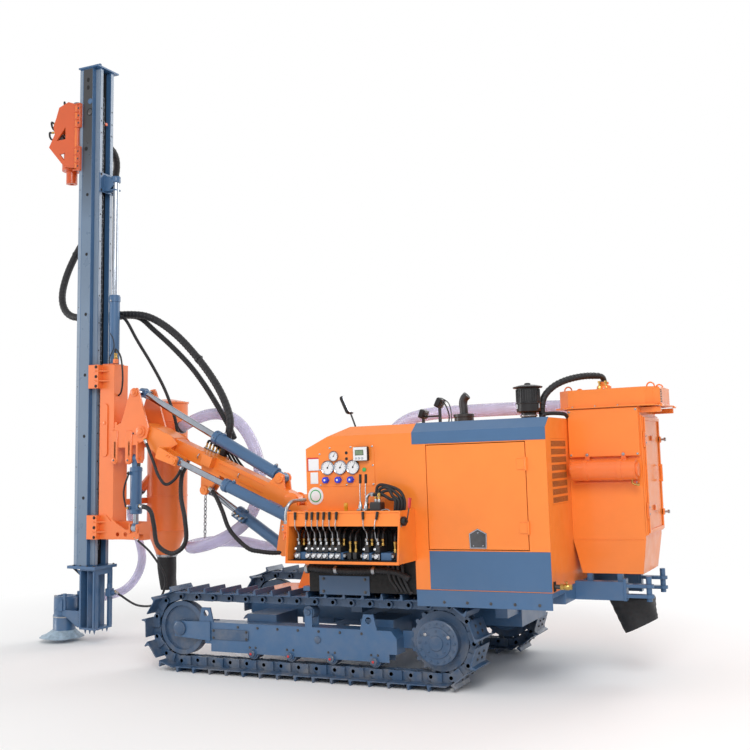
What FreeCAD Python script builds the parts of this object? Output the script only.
# Crawler rock drilling rig with an upright drill mast on a hydraulic boom.
# Millimetres. +X points forward to the mast, +Y to the operator's side, +Z up.
# The origin lies on the ground, in the middle between the four ends of the tracks.
import FreeCAD, Part
import math
import os
import re
import Sketcher

Vector = FreeCAD.Vector
doc = FreeCAD.newDocument("drilling_rig")
sheet = doc.addObject("Spreadsheet::Sheet", "Sizes")

# Driving dimensions: alias, value, meaning
SIZES = [
    ("axle_span", 2487, "sprocket axle to idler axle"),
    ("axle_height", 367, "axles above the ground"),
    ("track_pitch", 171.45, "pitch of the track links"),
    ("pin_radius", 272.6, "link pins about the axle"),
    ("shoe_radius", 318, "inner face of the shoe plates about the axle"),
    ("shoe_plate", 9, "thickness of a shoe plate"),
    ("grouser_height", 40, "grouser above the shoe plate"),
    ("link_half", 38, "half the height of a link"),
    ("link_width", 120, "width of the link chain"),
    ("track_offset", 791, "track centre from the machine's centre"),
    ("shoe_width", 310, "width of a shoe"),
    ("roller_radius", 52, "lower track roller"),
    ("hub_radius", 169, "final drive drum"),
    ("side_beam_top", 430, "top of the side frame"),
    ("side_beam_bottom", 245, "bottom of the side frame"),
    ("frame_top", 600, "top of the main frame"),
    ("frame_bottom", 420, "bottom of the main frame"),
    ("frame_front", 830, "front of the main frame"),
    ("frame_half", 330, "half width of the main frame"),
    ("sill_bottom", 654, "underside of the sill"),
    ("sill_floor", 742, "underside of the deck plate over the tracks"),
    ("sill_skirt", 5, "thickness of the sill's side skirt"),
    ("sill_inner", 620, "half width of the deck between the tracks"),
    ("sill_top", 780, "top of the sill"),
    ("body_front", -142, "front face of the housing"),
    ("body_back", -2200, "rear face of the housing"),
    ("body_half", 950, "half width of the housing"),
    ("body_nose", 1907, "top of the housing's front face"),
    ("body_slope_end", -513, "where the sloped front meets the roof"),
    ("roof_edge", 2003, "roof height at the sides"),
    ("roof_top", 2078, "roof height in the middle"),
    ("roof_chamfer", 100, "width of the sloped roof edge"),
    ("wall", 40, "thickness of housing walls and doors"),
    ("door_front", -1225, "front edge of a side door"),
    ("door_back", -2041, "rear edge of a side door"),
    ("door_bottom", 1087, "bottom of a side door"),
    ("door_top", 1904, "top of a side door"),
    ("door_gap", 6, "gap around doors"),
    ("knuckle", 9, "radius of the door hinges"),
    ("seat_gap", 0.3, "gap between seated pieces"),
    ("skin", 3, "thickness of a bolted-on cover strip"),
    ("grille_inner", 325, "inner edge of the rear grille"),
    ("grille_bottom", 1418, "bottom of the rear grille"),
    ("grille_top", 1918, "top of the rear grille"),
    ("console_front", -120, "front end of the console"),
    ("console_back", -1110, "rear end of the console"),
    ("console_bottom", 1010, "underside of the console"),
    ("console_top", 1400, "top of the console"),
    ("console_depth", 324, "console depth at its foot"),
    ("console_depth_top", 270, "console depth at its top"),
    ("plate", 12, "thickness of console plates"),
    ("lever_slot", 14, "half width of the lever slots"),
    ("cleaner_x", -1970, "air cleaner position along the machine"),
    ("cleaner_y", 600, "air cleaner position across the machine"),
    ("cleaner_height", 263, "air cleaner above the roof"),
    ("cleaner_radius", 117, "air cleaner cap radius"),
    ("exhaust_x", -1310, "exhaust position along the machine"),
    ("exhaust_y", 300, "exhaust position across the machine"),
    ("exhaust_radius", 42, "exhaust pipe radius"),
    ("exhaust_top", 2326, "top of the exhaust"),
    ("mirror_x", -406, "lower end of the tilted mirror"),
    ("mirror_y", 500, "mirror across the machine"),
    ("mirror_top", 2361, "top of the mirror"),
    ("lamp_x", -972, "roof lamps along the machine"),
    ("lamp_y", 200, "roof lamps across the machine"),
    ("lamp_top", 2330, "top of the roof lamps"),
    ("dust_length", 569, "dust box length"),
    ("dust_half", 317, "half width of the dust box"),
    ("dust_top", 2150, "top of the dust box"),
    ("hopper_top", 1119, "start of the hopper"),
    ("hopper_bottom", 855, "bottom of the hopper"),
    ("hopper_half", 290, "half width of the hopper's foot"),
    ("dust_wall", 20, "dust box wall"),
    ("lid_height", 150, "height of the dust box lid"),
    ("lid_overhang", 107, "lid beyond the box's front"),
    ("lid_tail", 168, "lid beyond the box's back"),
    ("lid_corner", 90, "cut corners of the lid"),
    ("lid_half", 352, "half width of the lid"),
    ("dust_door_bottom", 1180, "bottom of the dust box door"),
    ("dust_door_top", 2050, "top of the dust box door"),
    ("tank_radius", 78, "air tank radius"),
    ("tank_z", 1662, "air tank height"),
    ("chute_top", 640, "where the rubber boot widens"),
    ("chute_bottom", 352, "lowest point of the rubber boot"),
    ("chute_half", 150, "half width of the rubber boot"),
    ("beam_end", -2577, "rear end of the carrying beams"),
    ("hitch_x", -2765, "tie-down pins along the machine"),
    ("hitch_pin", 22, "radius of the tie-down pins"),
    ("beam_y", 235, "inner side of a carrying beam"),
    ("beam_width", 95, "width of a carrying beam"),
    ("beam_bottom", 654, "underside of the carrying beams"),
    ("beam_top", 796, "top of the carrying beams"),
    ("swing_x", 350, "boom swing axis"),
    ("post_radius", 80, "swing post radius"),
    ("lug_radius", 90, "radius of the base lugs"),
    ("base_top", 1500, "top of the boom base"),
    ("lug_height", 50, "height of a base lug"),
    ("lower_lug", 840, "underside of the lower base lug"),
    ("lift_x", 540, "boom lift pin"),
    ("lift_z", 1428, "boom lift pin height"),
    ("boom_pitch", 23.27, "boom angle as parked"),
    ("boom_length", 1856, "lift pin to tilt pin"),
    ("boom_half", 70, "half width of the boom tube"),
    ("boom_depth", 138, "depth of the boom tube"),
    ("ear", 30, "thickness of pin ears"),
    ("ear_gap", 4, "side clearance in ears"),
    ("pin", 25, "radius of the cylinder pins"),
    ("main_pin", 35, "radius of the main pins"),
    ("pin_clearance", 0.08, "radial running clearance of pins"),
    ("rod_clearance", 0.5, "radial clearance of piston rods"),
    ("tilt_base_x", 210, "tilt cylinder base on the boom"),
    ("tilt_base_z", 159, "tilt cylinder base above the boom axis"),
    ("tilt_ear_x", 84, "tilt rod pin before the tilt pin"),
    ("tilt_ear_z", 400, "tilt rod pin above the tilt pin"),
    ("lift_rod_x", 963, "lift rod pin on the boom"),
    ("lift_rod_z", -267, "lift rod pin below the boom axis"),
    ("lift_base_x", 640, "lift cylinder base"),
    ("lift_base_z", 985, "lift cylinder base height"),
    ("swing_rod_x", 1273, "swing rod pin on the boom"),
    ("swing_rod_z", -83, "swing rod pin below the boom axis"),
    ("swing_base_x", 425, "swing cylinder base"),
    ("swing_base_z", 1277, "swing cylinder base height"),
    ("swing_side", 218, "swing cylinder from the boom's middle"),
    ("cheek_half", 150, "outer half width of the head cheeks"),
    ("cheek", 22, "thickness of the head cheeks"),
    ("head_front", 338, "front of the head before the tilt pin"),
    ("slew_radius", 130, "radius of the mast swing flange"),
    ("slew_z", -40, "mast swing axis below the tilt pin"),
    ("fan_ear_x", 89, "mast swing cylinder before the tilt pin"),
    ("fan_y", 105, "mast swing cylinder, sideways"),
    ("fan_top_z", -270, "mast swing cylinder top pin below the tilt pin"),
    ("fan_low_z", -975, "mast swing cylinder lower pin below the tilt pin"),
    ("mast_reach", 621.3, "tilt pin to the mast's rear face"),
    ("mast_lean", 1.63, "rearward lean of the mast as parked"),
    ("mast_top", 6075, "top of the mast"),
    ("mast_bottom", 800, "bottom of the mast beam"),
    ("mast_half", 150, "half width of the mast beam"),
    ("mast_depth", 200, "depth of the mast beam with its rear rails"),
    ("rail_depth", 62, "depth of the rear rails"),
    ("rail_outer", 104, "outer half width of the rear rails"),
    ("rail_inner", 60, "inner half width of the rear rails"),
    ("front_rail", 40, "height of the front rails"),
    ("mast_wall", 14, "wall of the mast beam"),
    ("chain_half", 22, "half width of the feed chain"),
    ("drill_x", 480, "drill axis before the mast's rear face"),
    ("slide_gap", 1, "running gap of slides"),
    ("carriage_low", 1080, "bottom of the carriage"),
    ("carriage_high", 2880, "top of the carriage"),
    ("carriage_back", -236, "rear face of the carriage box"),
    ("carriage_front", -48, "front face of the carriage box"),
    ("carriage_half", 105, "half width of the carriage box"),
    ("carriage_wall", 14, "wall of the carriage box"),
    ("clamp_height", 245, "height of a slide clamp"),
    ("comp_x", -138, "compensation cylinder before the mast's rear face"),
    ("comp_top", 3622, "top of the compensation barrel"),
    ("comp_eye", 4835, "compensation rod bracket"),
    ("comp_radius", 54, "compensation barrel radius"),
    ("head_low", 4970, "bottom of the drill head's lower shoe"),
    ("head_high", 5700, "top of the drill head's upper shoe"),
    ("shoe_low_height", 260, "height of a head shoe"),
    ("spindle_bottom", 4890, "bottom of the spindle"),
    ("spindle_radius", 45, "spindle radius"),
    ("spindle_bore", 24, "bore of the spindle"),
    ("foot_bottom", 150, "bottom of the mast foot"),
    ("foot_top", 770, "underside of the foot's top plate"),
    ("foot_back", -36, "rear face of the mast foot"),
    ("foot_front", 172, "front face of the mast foot"),
    ("bush_bore", 60, "bore radius of the drill guide"),
    ("cyclone_x", -377, "cyclone axis from the mast's rear face"),
    ("cyclone_y", -600, "cyclone axis, sideways"),
    ("cyclone_radius", 215, "cyclone drum radius"),
    ("cyclone_top", 2500, "top of the cyclone"),
    ("inlet_z", 1800, "inlet of the cyclone"),
    ("outlet_z", 2060, "outlet of the cyclone"),
    ("stub_length", 300, "length of the cyclone's slanted stubs"),
    ("cyclone_cone", 1136, "start of the cyclone's cone"),
    ("cyclone_outlet", 860, "bottom of the cyclone's cone"),
    ("sleeve_bottom", 500, "bottom of the rubber sleeve"),
    ("suction_radius", 60, "radius of the big suction hose"),
    ("suction_small", 45, "radius of the hose at the mast foot"),
    ("bundle_radius", 38, "radius of the wrapped hose bundles"),
]

for row, (alias, value, meaning) in enumerate(SIZES, 1):
    sheet.set(f"A{row}", meaning)
    sheet.set(f"B{row}", str(value))
    sheet.setAlias(f"B{row}", alias)
doc.recompute()
ALIASES = {alias for alias, value, meaning in SIZES}


def ref(text):
    """Turn size names in an expression into references to the sheet."""
    found = lambda match: "Sizes." + match.group(0) if match.group(0) in ALIASES else match.group(0)
    return re.sub(r"[a-z_][a-z_0-9]*", found, str(text))


def size(alias):
    """The present value of one size."""
    return float(sheet.get(alias))


def bind(item, **expressions):
    for name, text in expressions.items():
        item.setExpression(name, ref(text))
    return item


def place(item, x="0", y="0", z="0"):
    for name, text in (("x", x), ("y", y), ("z", z)):
        item.setExpression("Placement.Base." + name, ref(text))
    return item


# Basic solids

TURN = {
    "X": FreeCAD.Rotation(Vector(0, 1, 0), 90),
    "Y": FreeCAD.Rotation(Vector(1, 0, 0), -90),
    "Z": FreeCAD.Rotation(),
}


def block(x0, x1, y0, y1, z0, z1):
    item = doc.addObject("Part::Box", "Block")
    bind(item, Length=f"({x1})-({x0})", Width=f"({y1})-({y0})", Height=f"({z1})-({z0})")
    return place(item, x0, y0, z0)


def centre_on(item, axis, a, b, low):
    """Place a round solid: a and b are its axis in the two other directions, low its start."""
    item.Placement = FreeCAD.Placement(Vector(), TURN[axis])
    where = {"X": (low, a, b), "Y": (a, low, b), "Z": (a, b, low)}[axis]
    return place(item, *where)


def disc(axis, radius, low, high, a="0", b="0"):
    item = bind(doc.addObject("Part::Cylinder", "Disc"), Radius=radius, Height=f"({high})-({low})")
    return centre_on(item, axis, a, b, low)


def cone(axis, radius_low, radius_high, low, high, a="0", b="0"):
    item = bind(doc.addObject("Part::Cone", "Cone"), Radius1=radius_low, Radius2=radius_high,
                Height=f"({high})-({low})")
    return centre_on(item, axis, a, b, low)


def profile(plane, points, low, high):
    """A plate or prism: a closed outline of (across, up) points, padded from low to high."""
    body = doc.addObject("PartDesign::Body", "Prism")
    outline = body.newObject("Sketcher::SketchObject", "Outline")
    origin_plane = [each for each in body.Origin.OriginFeatures if each.Role == plane + "_Plane"]
    outline.AttachmentSupport = [(origin_plane[0], "")]
    outline.MapMode = "FlatFace"
    count = len(points)
    values = [(evaluate(across), evaluate(up)) for across, up in points]
    corners = [Vector(across, up, 0) for across, up in values]
    outline.addGeometry([Part.LineSegment(corners[i], corners[(i + 1) % count]) for i in range(count)])
    rules = [Sketcher.Constraint("Coincident", i, 2, (i + 1) % count, 1) for i in range(count)]
    for i, (across, up) in enumerate(values):
        rules.append(Sketcher.Constraint("DistanceX", -1, 1, i, 1, across))
        rules.append(Sketcher.Constraint("DistanceY", -1, 1, i, 1, up))
    outline.addConstraint(rules)
    for i, (across, up) in enumerate(points):
        outline.setExpression(f"Constraints[{count + 2 * i}]", ref(across))
        outline.setExpression(f"Constraints[{count + 2 * i + 1}]", ref(up))
    pad = body.newObject("PartDesign::Pad", "Pad")
    pad.Profile = outline
    bind(pad, Length=f"({high})-({low})")
    shift = {"XZ": "y", "YZ": "x", "XY": "z"}[plane]
    body.setExpression("Placement.Base." + shift, ref(high if plane == "XZ" else low))
    return body


def evaluate(text):
    """Number of an expression, to draw a sketch near its final place."""
    return float(sheet.evalExpression(re.sub(r"Sizes\.", "", ref(text))))


def fuse(*items):
    if len(items) == 1:
        return items[0]
    joined = doc.addObject("Part::MultiFuse", "Joined")
    joined.Shapes = list(items)
    return joined


def cut(base, *tools):
    result = doc.addObject("Part::Cut", "Opened")
    result.Base = base
    result.Tool = fuse(*tools)
    return result


def common(first, second):
    result = doc.addObject("Part::Common", "Shared")
    result.Base = first
    result.Tool = second
    return result


# Frames that sub-parts are drawn in: position, turning axis and angle

FRAMES = {
    "machine": ("0", "0", "0", (0, 1, 0), "0"),
    "boom": ("lift_x", "0", "lift_z", (0, 1, 0), "-boom_pitch"),
    "head": ("lift_x + boom_length*cos(boom_pitch)", "0", "lift_z + boom_length*sin(boom_pitch)",
             (0, 1, 0), "-mast_lean"),
}

# The mast's frame lies on its rear face, with its origin at ground level; the tilt pin in that frame
TILT_X = "(lift_x + boom_length*cos(boom_pitch))"
TILT_Z = "(lift_z + boom_length*sin(boom_pitch))"
MAST_X = f"({TILT_X} + (mast_reach + {TILT_Z}*sin(mast_lean))/cos(mast_lean))"
FRAMES["mast"] = (MAST_X, "0", "0", (0, 1, 0), "-mast_lean")
PIN_X = "(-mast_reach)"
PIN_Z = f"(({MAST_X} - {TILT_X})*sin(mast_lean) + {TILT_Z}*cos(mast_lean))"

PARTS = {}


def node(name, item, frame="machine"):
    """Name a sub-part and put it in its frame."""
    holder = doc.addObject("Part::Compound", "Node")
    holder.Links = [item] if not isinstance(item, (list, tuple)) else list(item)
    holder.Label = name
    x, y, z, axis, angle = FRAMES[frame]
    holder.Placement = FreeCAD.Placement(Vector(), FreeCAD.Rotation(Vector(*axis), 1))
    place(holder, x, y, z)
    holder.setExpression("Placement.Rotation.Angle", ref(angle))
    PARTS[name] = holder
    return holder


# Undercarriage

def loop_point(travel, radius):
    """A point at the given distance outside the axle line, after some travel round the track."""
    half = size("axle_span") / 2
    turn = math.pi * size("pin_radius")
    span = size("axle_span")
    travel = travel % (2 * (span + turn))
    height = size("axle_height")
    if travel < span:
        return half - travel, height - radius
    travel -= span
    if travel < turn:
        angle = travel / size("pin_radius")
        return -half - radius * math.sin(angle), height - radius * math.cos(angle)
    travel -= turn
    if travel < span:
        return travel - half, height + radius
    angle = (travel - span) / size("pin_radius")
    return half + radius * math.sin(angle), height + radius * math.cos(angle)


def stadium(radius, low, high):
    """A solid with two round ends about the axles, between two sideways places."""
    half = size("axle_span") / 2
    height = size("axle_height")
    corners = [Vector(x, low, z) for x, z in (
        (half, height - radius), (-half, height - radius), (-half, height + radius), (half, height + radius))]
    rear = Part.Arc(corners[1], Vector(-half - radius, low, height), corners[2])
    front = Part.Arc(corners[3], Vector(half + radius, low, height), corners[0])
    edges = [Part.LineSegment(corners[0], corners[1]).toShape(), rear.toShape(),
             Part.LineSegment(corners[2], corners[3]).toShape(), front.toShape()]
    return Part.Face(Part.Wire(edges)).extrude(Vector(0, high - low, 0))


def track(side):
    """One closed loop: shoes with tall grousers in the outline, and the link chain inside."""
    loop = 2 * size("axle_span") + 2 * math.pi * size("pin_radius")
    count = round(loop / size("track_pitch"))
    pitch = loop / count
    plate = size("shoe_radius") + size("shoe_plate")
    tip = plate + size("grouser_height")
    # share of the pitch, distance from the axle line
    shoe = ((0.01, plate - 6), (0.04, tip), (0.13, tip), (0.24, plate), (0.97, plate))
    points = []
    for index in range(count):
        for share, radius in shoe:
            x, z = loop_point((index + share) * pitch, radius)
            points.append(Vector(x, 0, z))
    outline = Part.Face(Part.makePolygon(points + points[:1]))
    middle = side * size("track_offset")
    low = middle - size("shoe_width") / 2
    outer = outline.extrude(Vector(0, size("shoe_width"), 0))
    outer.translate(Vector(0, low, 0))
    shoes = outer.cut(stadium(size("shoe_radius"), low - 1, low + size("shoe_width") + 1))
    chain_low = middle - size("link_width") / 2
    chain_high = middle + size("link_width") / 2
    inner_radius = size("pin_radius") - size("link_half")
    chain = stadium(size("shoe_radius"), chain_low, chain_high)
    chain = chain.cut(stadium(inner_radius, chain_low - 1, chain_high + 1))
    item = doc.addObject("Part::Feature", "Track")
    item.Shape = shoes.fuse(chain).removeSplitter()
    return item


def side_range(side, near, far):
    """Low and high sideways limits for a piece between two distances from the centre."""
    return (near, far) if side > 0 else (f"-({far})", f"-({near})")


def across(side, distance):
    return distance if side > 0 else f"-({distance})"


ROLLERS = ("0.198*axle_span", "0.048*axle_span", "-0.111*axle_span", "-0.27*axle_span")
ROLLER_Z = "(axle_height - pin_radius + link_half + roller_radius + seat_gap)"
TOP_ROLLER_X = "(-0.026*axle_span)"
TOP_ROLLER_Z = "(axle_height + pin_radius - link_half - roller_radius - seat_gap)"


def track_frame(side):
    """Side beam with sloped top, roller skirts, idler yoke, drive mount and lifting brackets."""
    low, high = side_range(side, "track_offset - 100", "track_offset + 60")
    beam = profile("XZ", [
        ("-axle_span/2 + 370", "side_beam_bottom"), ("axle_span/2 - 260", "side_beam_bottom"),
        ("axle_span/2 - 250", "side_beam_bottom + 60"), ("axle_span/2 - 250", "side_beam_top - 40"),
        ("axle_span/2 - 300", "side_beam_top"), ("-axle_span/2 + 420", "side_beam_top"),
        ("-axle_span/2 + 370", "side_beam_top - 60")], low, high)
    pieces = [beam]
    # skirts on both sides of the rollers, with a tab and a cap at each roller
    for near, far in (("track_offset + 52", "track_offset + 60"), ("track_offset - 60", "track_offset - 52")):
        low, high = side_range(side, near, far)
        pieces.append(block("-axle_span/2 + 440", "axle_span/2 - 320", low, high, f"{ROLLER_Z} - 5",
                            "side_beam_bottom + 1"))
        for x in ROLLERS:
            pieces.append(disc("Y", "38", low, high, x, ROLLER_Z))
        # stand of the top roller
        pieces.append(block(f"{TOP_ROLLER_X} - 35", f"{TOP_ROLLER_X} + 35", low, high, "side_beam_top - 10",
                            f"{TOP_ROLLER_Z} + 25"))
    low, high = side_range(side, "track_offset + 59", "track_offset + 75")
    for x in ROLLERS:
        pieces.append(disc("Y", "26", low, high, x, ROLLER_Z))
    # plate on the inner side that carries the drive
    low, high = side_range(side, "track_offset - 100", "track_offset - 71")
    pieces.append(block("-axle_span/2", "-axle_span/2 + 375", low, high, "axle_height - 90", "axle_height + 50"))
    pieces.append(disc("Y", "hub_radius - 10", low, high, "-axle_span/2", "axle_height"))
    # yoke of the idler
    for near, far in (("track_offset + 59", "track_offset + 75"), ("track_offset - 75", "track_offset - 59")):
        low, high = side_range(side, near, far)
        pieces.append(profile("XZ", [
            ("axle_span/2 - 320", "axle_height - 95"), ("axle_span/2 + 60", "axle_height - 70"),
            ("axle_span/2 + 60", "axle_height + 60"), ("axle_span/2 - 320", "axle_height + 70")], low, high))
    for middle in ("axle_span/2 - 270", "-axle_span/2 + 620"):
        low, high = side_range(side, "track_offset + 45", "track_offset + 60")
        bracket = profile("XZ", [
            (f"{middle} - 90", "side_beam_top - 60"), (f"{middle} + 90", "side_beam_top - 60"),
            (f"{middle} + 45", "side_beam_top + 125"), (f"{middle} - 45", "side_beam_top + 125")], low, high)
        low, high = side_range(side, "track_offset + 40", "track_offset + 70")
        pieces.append(cut(bracket, disc("Y", "27", low, high, middle, "side_beam_top + 75")))
    # arms to the main frame
    low, high = side_range(side, "frame_half + seat_gap", "track_offset - 100 - seat_gap")
    for middle in ("-0.25*axle_span", "0.2*axle_span"):
        pieces.append(block(f"{middle} - 150", f"{middle} + 150", low, high, "side_beam_bottom + 20",
                            "side_beam_top + 60"))
    return fuse(*pieces)


def running_gear(side):
    """Sprocket with its drive drum, idler wheel, lower rollers and top roller."""
    middle = "track_offset"
    rear = "-axle_span/2"
    front = "axle_span/2"
    rim = "pin_radius - link_half - seat_gap"
    pieces = []
    low, high = side_range(side, f"{middle} - 30", f"{middle} + 30")
    sprocket = disc("Y", rim, low, high, rear, "axle_height")
    low, high = side_range(side, f"{middle} - 71 + seat_gap", f"{middle} + 115")
    pieces.append(fuse(sprocket, disc("Y", "hub_radius", low, high, rear, "axle_height")))
    low, high = side_range(side, f"{middle} - 40", f"{middle} + 40")
    idler = disc("Y", rim, low, high, front, "axle_height")
    hollow_low, hollow_high = side_range(side, f"{middle} + 15", f"{middle} + 60")
    hollow = cut(disc("Y", f"{rim} - 40", hollow_low, hollow_high, front, "axle_height"),
                 disc("Y", "70", hollow_low, hollow_high, front, "axle_height"))
    idler = cut(idler, hollow)
    low, high = side_range(side, f"{middle} - 58.7", f"{middle} + 58.7")
    pieces.append(fuse(idler, disc("Y", "45", low, high, front, "axle_height")))
    places = [(x, ROLLER_Z) for x in ROLLERS] + [(TOP_ROLLER_X, TOP_ROLLER_Z)]
    for x, z in places:
        low, high = side_range(side, f"{middle} - 52 + seat_gap", f"{middle} + 52 - seat_gap")
        shaft = disc("Y", "20", low, high, x, z)
        low, high = side_range(side, f"{middle} - 48", f"{middle} + 48")
        pieces.append(fuse(shaft, disc("Y", "roller_radius", low, high, x, z)))
    return pieces


def chassis_frame():
    """Main frame between the tracks, with the rear beams that carry the dust box."""
    main = block("-1750", "frame_front", "-frame_half", "frame_half", "frame_bottom", "frame_top")
    hollow = block("-1650", "frame_front - 250", "-frame_half + 100", "frame_half - 100",
                   "frame_bottom - 1", "frame_top - 40")
    pieces = [cut(main, hollow)]
    for side in (1, -1):
        low, high = side_range(side, "frame_half - 40", "sill_inner - 2")
        for x in ("-1680", "-1100", "-400"):
            pieces.append(block(f"{x} - 50", f"{x} + 50", low, high, "frame_top - 70", "sill_bottom - seat_gap"))
    return fuse(*pieces)


def carrying_beams():
    """Two beams behind the deck under the dust box, each ending in a clevis with an upright pin."""
    pieces = []
    for side in (1, -1):
        low, high = side_range(side, "beam_y", "beam_y + beam_width")
        pieces.append(block("beam_end", "body_back - seat_gap", low, high, "beam_bottom", "beam_top"))
        middle = across(side, "beam_y + beam_width/2")
        low, high = side_range(side, "beam_y + 8", "beam_y + beam_width - 8")
        pieces.append(block("beam_end - 22", "beam_end + 1", low, high, "beam_bottom - 4", "beam_top + 24"))
        for z in ("beam_bottom + 20", "beam_top - 44"):
            low, high = side_range(side, "beam_y + 14", "beam_y + beam_width - 14")
            pieces.append(block("hitch_x", "beam_end - 20", low, high, z, f"{z} + 26"))
            pieces.append(disc("Z", "beam_width/2 - 10", z, f"{z} + 26", "hitch_x", middle))
        pieces.append(disc("Z", "hitch_pin", "beam_bottom - 7", "beam_top + 43", "hitch_x", middle))
        # seats under the foot of the dust box
        low, high = side_range(side, "beam_y", "hopper_half - 2")
        for x in ("beam_end + 10", "body_back - 130"):
            pieces.append(block(x, f"{x} + 40", low, high, "beam_top - 1", "hopper_bottom - seat_gap"))
    cross = block("body_back - 90", "body_back - 30", "-beam_y - 5", "beam_y + 5", "beam_bottom + 20",
                  "beam_bottom + 60")
    return fuse(*pieces, cross)


def deck():
    """Deck plate over the tracks, its skirts outside them and its box rim between them."""
    plate_item = block("body_back", "body_front + 60", "-body_half", "body_half", "sill_floor", "sill_top")
    rim = block("body_back", "body_front + 60", "-sill_inner", "sill_inner", "sill_bottom", "sill_floor + 1")
    room = block("body_back + 60", "body_front", "-sill_inner + 60", "sill_inner - 60", "sill_bottom - 1",
                 "sill_floor")
    pieces = [plate_item, cut(rim, room)]
    for side in (1, -1):
        low, high = side_range(side, "body_half - 1", "body_half + sill_skirt")
        pieces.append(block("body_back", "body_front + 60", low, high, "sill_bottom", "sill_top"))
    return fuse(*pieces)


# Housing

def body_solid(inset):
    """The housing's outer form, drawn in by an inset."""
    side = profile("XZ", [
        (f"body_back + {inset}", "sill_top + seat_gap"), (f"body_front - {inset}", "sill_top + seat_gap"),
        (f"body_front - {inset}", f"body_nose - {inset}"), (f"body_slope_end - {inset}", f"roof_top - {inset}"),
        (f"body_back + {inset}", f"roof_top - {inset}")], f"-body_half + {inset}", f"body_half - {inset}")
    front = profile("YZ", [
        (f"-body_half + {inset}", "sill_top"), (f"body_half - {inset}", "sill_top"),
        (f"body_half - {inset}", f"roof_edge - {inset}"),
        (f"body_half - {inset} - roof_chamfer", f"roof_top - {inset}"),
        (f"-body_half + {inset} + roof_chamfer", f"roof_top - {inset}"),
        (f"-body_half + {inset}", f"roof_edge - {inset}")], "body_back - 10", "body_front + 10")
    return common(side, front)


def housing():
    """Hollow sheet-metal housing, open where the side doors and the rear grilles sit."""
    openings = []
    for side in (1, -1):
        low, high = side_range(side, "body_half - wall - 20", "body_half + 20")
        openings.append(block("door_back", "door_front", low, high, "door_bottom", "door_top"))
        low, high = side_range(side, "grille_inner + 60", "body_half - 110")
        openings.append(block("body_back - 20", "body_back + wall + 20", low, high,
                              "grille_bottom", "grille_top"))
    return cut(body_solid("0"), body_solid("wall"), *openings)


def side_door(side):
    """Hollow-backed door panel with a folded rim."""
    low, high = side_range(side, "body_half - wall", "body_half")
    panel = block("door_back + door_gap", "door_front - door_gap", low, high,
                  "door_bottom + door_gap", "door_top - door_gap")
    low, high = side_range(side, "body_half - wall - 10", "body_half - 6")
    pocket = block("door_back + door_gap + 30", "door_front - door_gap - 30", low, high,
                   "door_bottom + door_gap + 30", "door_top - door_gap - 30")
    pieces = [panel]
    for low_z in ("door_bottom + 120", "door_top - 220"):
        pieces.append(disc("Z", "knuckle", low_z, f"{low_z} + 100", "door_back",
                           across(side, "body_half + knuckle + seat_gap")))
        low, high = side_range(side, "body_half - 1", "body_half + knuckle - 1")
        pieces.append(block("door_back + door_gap", "door_back + 70", low, high, f"{low_z} + 10", f"{low_z} + 90"))
        low, high = side_range(side, "body_half + 3", "body_half + knuckle - 1")
        pieces.append(block("door_back", "door_back + 10", low, high, f"{low_z} + 10", f"{low_z} + 90"))
    return cut(fuse(*pieces), pocket)


def grey_panels():
    """Painted cover strips: over the roof edge and below the doors, on both sides."""
    pieces = []
    near = "body_half + seat_gap"
    far = "body_half + seat_gap + skin"
    for side in (1, -1):
        fold = "body_half - roof_chamfer"
        outline = [(near, "door_top + 8"), (far, "door_top + 8"), (far, "roof_edge + skin"),
                   (fold, "roof_top + skin + 1"), (fold, "roof_top + 1"), (near, "roof_edge + 1")]
        outline = [(across(side, y), z) for y, z in outline]
        pieces.append(profile("YZ", outline, "body_back", "door_front + 115"))
        low, high = side_range(side, near, far)
        pieces.append(block("body_back", "door_front - 6", low, high, "sill_top + 6", "door_bottom - 8"))
    return pieces


def rear_grille():
    """Two slotted panels in the rear wall, beside the dust box."""
    pieces = []
    for side in (1, -1):
        low, high = side_range(side, "grille_inner + 60 + seat_gap", "body_half - 110 - seat_gap")
        panel = block("body_back", "body_back + 8", low, high, "grille_bottom + seat_gap", "grille_top - seat_gap")
        slots = []
        for row in range(6):
            z = f"grille_bottom + 45 + {row}*72"
            slots.append(block("body_back - 5", "body_back + 20", across(side, "grille_inner + 110")
                               if side > 0 else across(side, "body_half - 150"),
                               "body_half - 150" if side > 0 else across(side, "grille_inner + 110"),
                               z, f"{z} + 40"))
        pieces.append(cut(panel, *slots))
    return pieces


def engine_block():
    return block("-2040", "-1150", "-340", "340", "sill_top + seat_gap", "1560")


LEVER_ROWS = (("main", -215, 7, 95), ("feed", -905, 2, 95))


def console_box():
    """Open lever box on brackets at the operator's side."""
    inner = "body_half + seat_gap"
    outline = [(inner, "console_bottom"), ("body_half + console_depth", "console_bottom"),
               ("body_half + console_depth_top", "console_top"), (inner, "console_top")]
    whole = profile("YZ", outline, "console_back", "console_front")
    room = profile("YZ", [
        (f"{inner} + plate", "console_bottom + plate"), ("body_half + console_depth + 60", "console_bottom + plate"),
        ("body_half + console_depth + 60", "console_top - 110"), (f"{inner} + plate", "console_top - 110")],
        "console_back + plate", "console_front - plate")
    top_room = profile("YZ", [
        (f"{inner} + 60", "console_top - 110 + plate"),
        ("body_half + console_depth_top - 40", "console_top - 110 + plate"),
        ("body_half + console_depth_top - 40", "console_top + 10"), (f"{inner} + 60", "console_top + 10")],
        "console_back + plate", "console_front - plate")
    slots = []
    for name, start, count, step in LEVER_ROWS:
        slots.append(block(f"{start} - {round(count) - 1}*{step} - 16", f"{start} + 16", "body_half + 150 - lever_slot",
                           "body_half + 150 + lever_slot", "console_top - 120", "console_top - 90"))
    return cut(whole, room, top_room, *slots)


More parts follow.
